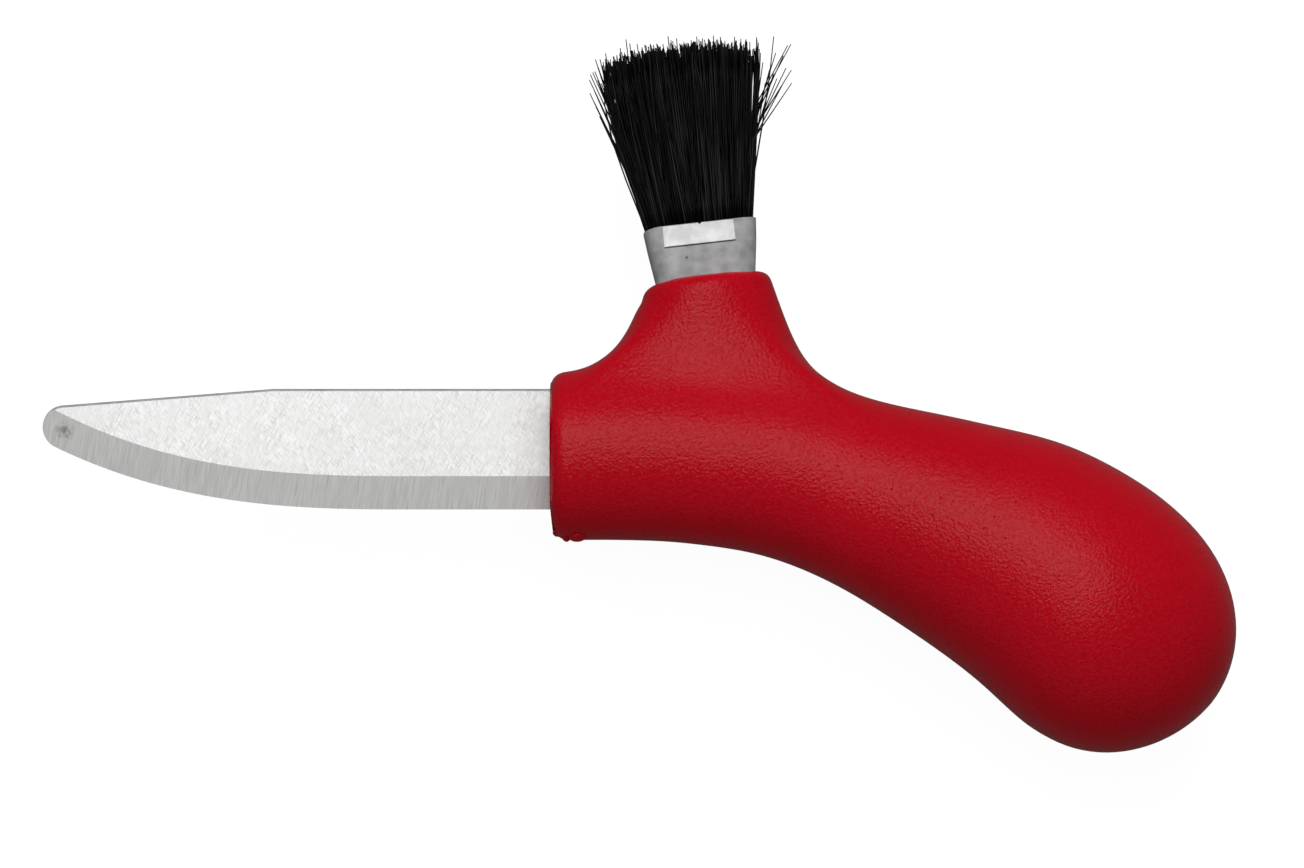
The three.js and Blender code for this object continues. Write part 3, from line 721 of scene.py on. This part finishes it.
for row in range(-ROWS, ROWS + 1):
    for column in range(-COLUMNS_EACH_WAY, COLUMNS_EACH_WAY + 1):
        along = (column + (row % 2) / 2) * PITCH + chance.uniform(-JITTER, JITTER)
        across = row * PITCH * ROW_PITCH + chance.uniform(-JITTER, JITTER)
        beyond = max(0.0, abs(along) - (MOUTH_HALF - MOUTH_DEEP))
        if math.hypot(beyond, across) > MOUTH_DEEP - MOUTH_MARGIN:
            continue
        share = along / MOUTH_HALF
        # Two waves that cross make clumps of about the same length.
        clump = math.sin(along * 5.1 + across * 2.3) * math.sin(along * 2.2 - across * 3.1)
        up = TIP_UP - share ** 2 - UNEVEN * chance.random() ** 1.5 + CLUMPED * clump
        if chance.random() < LONGER_CHANCE:
            up += chance.uniform(*LONGER_BY)
        leans_far = across > CROSS_ABOVE and chance.random() < CROSS_CHANCE and abs(share) < CROSS_WITHIN
        aside = chance.gauss(0, LEAN_FAR if leans_far else LEAN_LITTLE)
        tip_across = across * FAN_ACROSS + chance.gauss(0, LEAN_ACROSS)
        tip = on_brush(along * FAN_ALONG + aside, up, tip_across)
        outwards = OUTWARD_BOW * max(0.0, -share) ** 2
        if outwards > LEAST_OUTWARD:
            towards = -brush_along
            bow = outwards + chance.uniform(*BOW_CHANGE)
        else:
            towards = Vector((chance.uniform(-1, 1), 0, chance.uniform(-1, 1)))
            bow = chance.uniform(0, MOST_BOW)
        plant(nearest(bowed, BOWS, bow), on_brush(along, ROOT_UP, across), tip, towards)
print("bristles in the tuft:", len(strands))

# %% [markdown]
# The strays come last. They follow the tuft's two ends for a while, turn out at an elbow and end
# further out than the rest. There are as many at either end, but those on the handle's side reach
# further. The elbow is as deep as it takes to bring a stray back to the tuft's side there.

# %% Strays at both ends
STRAYS_EACH_END = 13
STRAY_ROOTS, STRAY_ROOT_MIDDLE, STRAY_DEPTH = (4.8, 5.7), 5.2, 1.7
STRAY_FAN, STRAY_SPREAD = 1.6, 0.8
LOW_BEND_CHANCE, TUFT_SPREAD = 0.25, 2.4
# For each end: its sign, how far out and how high the tips lie, and the tuft's half width at its foot.
STRAY_ENDS = [
    (-1, (9.6, 11.6), (20.2, 27.3), 7.2),
    (1, (9.6, 13.6), (22.3, 27.5), 6.2),
]
for end, (near, far), heights, tuft_half in STRAY_ENDS:
    for _ in range(STRAYS_EACH_END):
        reach_out = near + (far - near) * chance.random()
        across = chance.uniform(-STRAY_DEPTH, STRAY_DEPTH)
        root = on_brush(end * chance.uniform(*STRAY_ROOTS), ROOT_UP, across)
        up = chance.uniform(*heights)
        tip_across = across * STRAY_FAN + chance.uniform(-STRAY_SPREAD, STRAY_SPREAD)
        tip = on_brush(end * reach_out, up, tip_across)
        bend = LOW_BEND if chance.random() < LOW_BEND_CHANCE and end < 0 else HIGH_BEND
        straight = STRAY_ROOT_MIDDLE + bend * (reach_out - STRAY_ROOT_MIDDLE)
        inward = straight - (tuft_half + TUFT_SPREAD * bend)
        plant(nearest(bent[bend], ELBOWS, inward), root, tip, brush_along * -end)
begin()
for strand in strands:
    strand.select_set(True)
bpy.context.view_layer.objects.active = strands[0]
bpy.ops.object.join()
tuft = bpy.context.object
tuft.name = "bristle_tuft"
settle(tuft)
bpy.ops.object.shade_smooth()
for master in (*bowed, *bent[LOW_BEND], *bent[HIGH_BEND]):
    bpy.data.objects.remove(master)
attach(tuft, "root")
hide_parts(*bundles)
print("bristles:", len(strands), "tuft faces:", len(tuft.data.polygons))

# %% [markdown]
# ## Finishes
# Every finish is built from nodes that read Object coordinates, which are metres here, because each
# piece sits at the origin. A noise scale of 1000 is then about one blotch per millimetre. The
# helpers below make a material, add a node and wire it, and give the few patterns that the finishes
# share.

# %% Helpers for finishes
def new_finish(name, **constants):
    """A material whose shader has these constant sockets."""
    finish = bpy.data.materials.new(name)
    finish.use_nodes = True
    shader = finish.node_tree.nodes["Principled BSDF"]
    for socket, value in constants.items():
        shader.inputs[socket.replace("_", " ")].default_value = value
    return finish, shader


def add(owner, kind, settings=None, **inputs):
    """Adds a node. A socket among the inputs is wired, and any other value is set.

    An input called n0, n1 and so on goes by number, because sockets of a node can share a name.
    """
    node = owner.node_tree.nodes.new(kind)
    for name, value in (settings or {}).items():
        setattr(node, name, value)
    for name, value in inputs.items():
        socket = node.inputs[int(name[1:]) if name[1:].isdigit() else name.replace("_", " ")]
        if isinstance(value, bpy.types.NodeSocket):
            wire(owner, value, socket)
        else:
            socket.default_value = value
    return node


def wire(owner, output, socket):
    """Joins two sockets."""
    owner.node_tree.links.new(output, socket)


def combine(owner, operation, first, second):
    """Two values put together by one operation."""
    return add(owner, "ShaderNodeMath", {"operation": operation}, n0=first, n1=second).outputs["Value"]


def remap(owner, value, low, high, to_low=0.0, to_high=1.0):
    """A value carried from one range to another, and held inside it."""
    node = add(owner, "ShaderNodeMapRange", None, Value=value, From_Min=low, From_Max=high,
               To_Min=to_low, To_Max=to_high)
    return node.outputs["Result"]


def place_on(finish):
    """The point on the piece, in metres."""
    return add(finish, "ShaderNodeTexCoord").outputs["Object"]


def grain(finish, scale, detail=2.0, stretch=(1, 1, 1), turn=0.0):
    """Noise, turned about the vertical and then stretched."""
    turned = add(finish, "ShaderNodeMapping", {"vector_type": "POINT"}, Vector=place_on(finish),
                 Rotation=(0, 0, turn))
    stretched = add(finish, "ShaderNodeMapping", {"vector_type": "POINT"},
                    Vector=turned.outputs["Vector"], Scale=stretch)
    noise = add(finish, "ShaderNodeTexNoise", None, Vector=stretched.outputs["Vector"], Scale=scale,
                Detail=detail)
    return noise.outputs["Fac"]


def ramp(finish, value, low, high, low_colour, high_colour):
    """A colour that runs from one to the other as a value goes from low to high."""
    node = add(finish, "ShaderNodeValToRGB", None, Fac=value)
    node.color_ramp.elements[0].position = low
    node.color_ramp.elements[1].position = high
    node.color_ramp.elements[0].color = (*low_colour, 1)
    node.color_ramp.elements[1].color = (*high_colour, 1)
    return node.outputs["Color"]


def mixed(finish, share, colour, other):
    """A colour that goes over to another by a share."""
    return add(finish, "ShaderNodeMix", {"data_type": "RGBA"}, n0=share, n6=colour, n7=(*other, 1)).outputs[2]


def spot_at(finish, place, radius):
    """One at a place on the surface, falling to nothing at a radius in millimetres."""
    away = add(finish, "ShaderNodeVectorMath", {"operation": "DISTANCE"}, n0=place_on(finish), n1=place)
    return remap(finish, away.outputs["Value"], 0.0, radius * MM, 1.0, 0.0)


def along_knife(finish, start, end, most=1.0):
    """Nothing before one x of the drawing, rising to the most at another."""
    x = add(finish, "ShaderNodeSeparateXYZ", None, Vector=place_on(finish)).outputs["X"]
    return remap(finish, x, at(start, 0).x, at(end, 0).x, 0.0, most)


def emboss(finish, shader, height, strength, depth):
    """Tilts the shader's normal by a height that spans a depth in millimetres."""
    bump = add(finish, "ShaderNodeBump", None, Height=height, Strength=strength, Distance=depth * MM)
    wire(finish, bump.outputs["Normal"], shader.inputs["Normal"])


print("helpers for finishes ready")

# %% [markdown]
# The handle is a tough satin plastic, dyed red all through. Its skin has a fine grain that only shows
# where light glances off it, and pin-sized pits on the palm, which fade out towards the front. Grain
# in the colour would show everywhere. So the grain goes into the roughness, which breaks the
# highlight into specks, and into the bump, which ripples its edges. The colour only shifts a little.

# %% Red plastic
PITS_START, PITS_FULL, PIT_SHADE_RED = 15, 40, (0.30, 0.0007, 0.006)
DEEP_RED, BRIGHT_RED = (0.42, 0.0008, 0.008), (0.47, 0.0012, 0.010)
red, shader = new_finish("red_moulded_plastic", Specular_IOR_Level=0.2)
pits = add(red, "ShaderNodeTexVoronoi", None, Vector=place_on(red), Scale=800.0)
pit = remap(red, pits.outputs["Distance"], 0.04, 0.13, 0.8, 0.0)
pit = combine(red, "MULTIPLY", pit, combine(red, "GREATER_THAN", pits.outputs["Color"], 0.15))
pit = combine(red, "MULTIPLY", pit, along_knife(red, PITS_START, PITS_FULL))
colour = ramp(red, grain(red, 35), 0.3, 0.7, DEEP_RED, BRIGHT_RED)
# The pits are also painted a darker red, a painted shade in them.
wire(red, mixed(red, pit, colour, PIT_SHADE_RED), shader.inputs["Base Color"])
speckle = grain(red, 2300, 1.0)
wire(red, remap(red, speckle, 0.38, 0.62, 0.10, 0.33), shader.inputs["Roughness"])
height = combine(red, "SUBTRACT", grain(red, 2700, 1.0), pit)
emboss(red, shader, height, 1.0, 0.09)
handle.data.materials.append(red)
print("finish:", red.name)

# %% [markdown]
# The blade has three finishes. Its flats were brushed in two slanting directions, its bevels carry the
# stone's lines, nearly square to the edge, and the spine is left darker. The lines are noise that
# is squeezed one way and stretched the other. They tint the metal and tilt its normal a little, and
# fade out in patches. Use has left a dark stain near the nose. The flats are also painted darker
# towards the handle, a painted shade broken by noise.

# %% Steel
STAIN, STAIN_RADIUS, STAIN_COLOUR = at(-59.2, 3.1, 0.6), 1.5, (0.3, 0.3, 0.29)
# Painted shade: where the flats darken towards the handle, and its grey.
HANDLE_SHADE_START, HANDLE_SHADE_FULL, HANDLE_SHADE_COLOUR = -5.2, -1.0, (0.34, 0.33, 0.31)
PLAIN_LINE = 0.43


def steel(name, bright, dark, lines, rough, bare, handle_shade_amount=0.0):
    """Metal whose colour and bump follow sets of fine lines, each with a scale, a stretch and a turn.

    Rough is a range, bare is how far it is metal, and the last argument how much painted shade darkens it
    towards the handle.
    """
    finish, shader = new_finish(name, Metallic=bare)
    sets = [grain(finish, scale, 2.0, stretch, math.radians(turn)) for scale, stretch, turn in lines]
    line = sets[0]
    for other in sets[1:]:
        line = combine(finish, "MINIMUM", line, other)
    faded = remap(finish, grain(finish, 260), 0.4, 0.62, 0.0, 0.6)
    line = add(finish, "ShaderNodeMix", {"data_type": "FLOAT"}, n0=faded, n2=line, n3=PLAIN_LINE).outputs[0]
    colour = ramp(finish, line, 0.32, 0.52, dark, bright)
    broken = remap(finish, grain(finish, 1500, 3.0), 0.4, 0.62)
    stain = combine(finish, "MULTIPLY", spot_at(finish, STAIN, STAIN_RADIUS), broken)
    colour = mixed(finish, stain, colour, STAIN_COLOUR)
    # Painted shade on the flats towards the handle, broken by noise.
    handle_shade = along_knife(finish, HANDLE_SHADE_START, HANDLE_SHADE_FULL, handle_shade_amount)
    handle_shade = combine(finish, "MULTIPLY", handle_shade, grain(finish, 420))
    wire(finish, mixed(finish, handle_shade, colour, HANDLE_SHADE_COLOUR), shader.inputs["Base Color"])
    wire(finish, remap(finish, grain(finish, 160, 3.0), 0.0, 1.0, *rough), shader.inputs["Roughness"])
    emboss(finish, shader, line, 0.12, 0.02)
    return finish


flat_lines = [(1000, (7, 0.8, 1), 25), (1000, (8, 0.9, 1), -42)]
ground_lines = [(1000, (6, 0.15, 1), 8), (1000, (5, 0.12, 1), 11)]
spine_lines = [(500, (1, 8, 1), 0)]
blade_finishes = [
    steel("brushed_steel", (0.86, 0.86, 0.855), (0.61, 0.61, 0.605), flat_lines, (0.30, 0.36), 0.65, 0.45),
    steel("ground_steel", (0.92, 0.92, 0.91), (0.74, 0.74, 0.73), ground_lines, (0.46, 0.54), 0.45),
    steel("dull_steel", (0.55, 0.55, 0.55), (0.40, 0.40, 0.40), spine_lines, (0.4, 0.55), 0.5),
]
for finish in blade_finishes:
    blade.data.materials.append(finish)
print("finishes:", [finish.name for finish in blade.data.materials])

# %% [markdown]
# The ferrule is soft drawn aluminium, dull and cloudy, with scuffs. Its pressed facets get a smoother,
# more metallic finish of their own, with a paler colour that is a painted highlight for the light they
# catch from above. The crease below them is painted dark, a painted shade.

# %% Aluminium
SPECK, SPECK_RADIUS, SPECK_COLOUR = on_brush(-2.05, 2.3, 3.8), 0.27, (0.03, 0.03, 0.03)


def aluminium(name, bright, dark, rough, bare):
    """Metal with blotches, small scuffs and one dark speck, more or less dulled by its oxide."""
    finish, shader = new_finish(name, Metallic=bare)
    colour = ramp(finish, grain(finish, 600, 5.0), 0.32, 0.66, dark, bright)
    speck = spot_at(finish, SPECK, SPECK_RADIUS)
    wire(finish, mixed(finish, speck, colour, SPECK_COLOUR), shader.inputs["Base Color"])
    scuffs = grain(finish, 1500, 3.0, (1, 0.2, 1), BRUSH_LEAN)
    wire(finish, remap(finish, scuffs, 0.0, 1.0, *rough), shader.inputs["Roughness"])
    emboss(finish, shader, scuffs, 0.25, 0.06)
    return finish


ferrule_finishes = [
    aluminium("drawn_aluminium", (0.48, 0.48, 0.485), (0.32, 0.32, 0.325), (0.5, 0.62), 0.3),
    # A paler copy for the facets: partly a smoother finish, partly a painted highlight.
    aluminium("pressed_aluminium_painted_highlight", (0.85, 0.85, 0.85), (0.65, 0.65, 0.65), (0.32, 0.42), 0.95),
    # A dark copy for the crease: painted shade.
    aluminium("aluminium_crease_painted_shade", (0.20, 0.20, 0.20), (0.10, 0.10, 0.10), (0.5, 0.6), 0.7),
]
for finish in ferrule_finishes:
    ferrule.data.materials.append(finish)
print("finishes:", [finish.name for finish in ferrule.data.materials])

# %% [markdown]
# The bristles are black nylon. In the picture they are nearly one black shape, with a few grey streaks
# where light runs along a bristle. Each bristle was given a number when it was planted, and the
# material reads it to paint some of them a dark grey, a painted sheen. The resin at their roots is a
# dull brown that only shows between them.

# %% Bristles and resin
BLACK, SHEEN_GREY = (0.0012, 0.0012, 0.0013), (0.022, 0.021, 0.020)
DARK_BROWN, BROWN = (0.02, 0.014, 0.008), (0.06, 0.045, 0.028)
black, shader = new_finish("black_nylon", Specular_IOR_Level=0.22, Roughness=0.24)
number = add(black, "ShaderNodeAttribute", {"attribute_name": "strand_sheen"}).outputs["Fac"]
shade = combine(black, "MULTIPLY", number, grain(black, 700, 2.0, (1, 0.2, 1), -BRUSH_LEAN))
# Painted sheen: some bristles are painted a dark grey.
colour = ramp(black, shade, 0.22, 0.6, BLACK, SHEEN_GREY)
wire(black, colour, shader.inputs["Base Color"])
tuft.data.materials.append(black)
resin, shader = new_finish("brush_resin", Roughness=0.5)
colour = ramp(resin, grain(resin, 1800, 3.0), 0.35, 0.7, DARK_BROWN, BROWN)
wire(resin, colour, shader.inputs["Base Color"])
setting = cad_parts["brush_setting"]
for slot in setting.material_slots:
    slot.material = resin
print("finishes:", black.name, resin.name)

# %% [markdown]
# ## Floor, light and camera
# The knife lies on a white table and is seen from nearly straight above, a little from the blade's
# edge side. The floor and the world look white to the camera and nearly black to rays that left a
# gloss, which keeps grey haze off the red. Of the two, only the world sheds light, and only
# moderately. A softbox hangs over the knife and makes the long highlight on the handle. A second
# lamp, on the brush's side, adds light without a second highlight, so that the lower sides fall off
# into a darker red.

# %% Floor and world
FLOOR_SIZE, FLOOR_DROP, FLOOR_SHADE = 3, 0.2, 0.12


def by_ray(owner, camera, mirror, other):
    """A strength for rays from the camera, one for rays off gloss or through glass, one for the rest."""
    path = add(owner, "ShaderNodeLightPath").outputs
    either = combine(owner, "MAXIMUM", path["Is Glossy Ray"], path["Is Transmission Ray"])
    unseen = remap(owner, either, 0.0, 1.0, other, mirror)
    return remap(owner, path["Is Camera Ray"], 0.0, 1.0, unseen, camera)


begin()
bpy.ops.mesh.primitive_plane_add(size=FLOOR_SIZE, location=(0, 0, -FLOOR_DROP * MM))
floor = bpy.context.object
floor.name = "white_table"
settle(floor)
table, shader = new_finish("white_table_top", Roughness=0.9, Specular_IOR_Level=0.0)
shader.inputs["Base Color"].default_value = (FLOOR_SHADE, FLOOR_SHADE, FLOOR_SHADE, 1)
shader.inputs["Emission Color"].default_value = (1, 1, 1, 1)
wire(table, by_ray(table, camera=0.95, mirror=0.03, other=0.0), shader.inputs["Emission Strength"])
floor.data.materials.append(table)

world = bpy.data.worlds.new("white_room")
bpy.context.scene.world = world
world.use_nodes = True
room = world.node_tree.nodes["Background"]
room.inputs["Color"].default_value = (1, 1, 1, 1)
wire(world, by_ray(world, camera=1.0, mirror=0.09, other=0.36), room.inputs["Strength"])
bpy.context.scene.view_settings.view_transform = "Standard"
print("stage:", floor.name, world.name)

# %% Lamps and camera
TARGET = at(12.42, 2.78)
CAMERA_TILT, CAMERA_DISTANCE = math.radians(5), 1.0
SENSOR_WIDTH, FOCAL_LENGTH = 36, 226.3


def lamp(name, away, size, energy):
    """A square soft lamp, so far away from the target in metres, and turned towards it."""
    light = bpy.data.lights.new(name, "AREA")
    light.size = size
    light.energy = energy
    holder = bpy.data.objects.new(name, light)
    bpy.context.collection.objects.link(holder)
    holder.location = TARGET + Vector(away)
    holder.rotation_euler = (-Vector(away)).to_track_quat("-Z", "Y").to_euler()
    return holder


lamp("softbox", away=(-0.07, 0.245, 0.80), size=0.5, energy=1.57)
fill = lamp("brush_side_lamp", away=(0.10, 0.62, 0.62), size=0.4, energy=4.0)
fill.visible_glossy = False
lens = bpy.data.cameras.new("camera")
lens.sensor_width = SENSOR_WIDTH
lens.lens = FOCAL_LENGTH
camera = bpy.data.objects.new("camera", lens)
bpy.context.collection.objects.link(camera)
camera.location = TARGET + CAMERA_DISTANCE * Vector((0, -math.sin(CAMERA_TILT), math.cos(CAMERA_TILT)))
camera.rotation_euler = (CAMERA_TILT, 0, 0)
bpy.context.scene.camera = camera
print("camera at", tuple(round(value, 3) for value in camera.location))

# %% Clear the selection
begin()
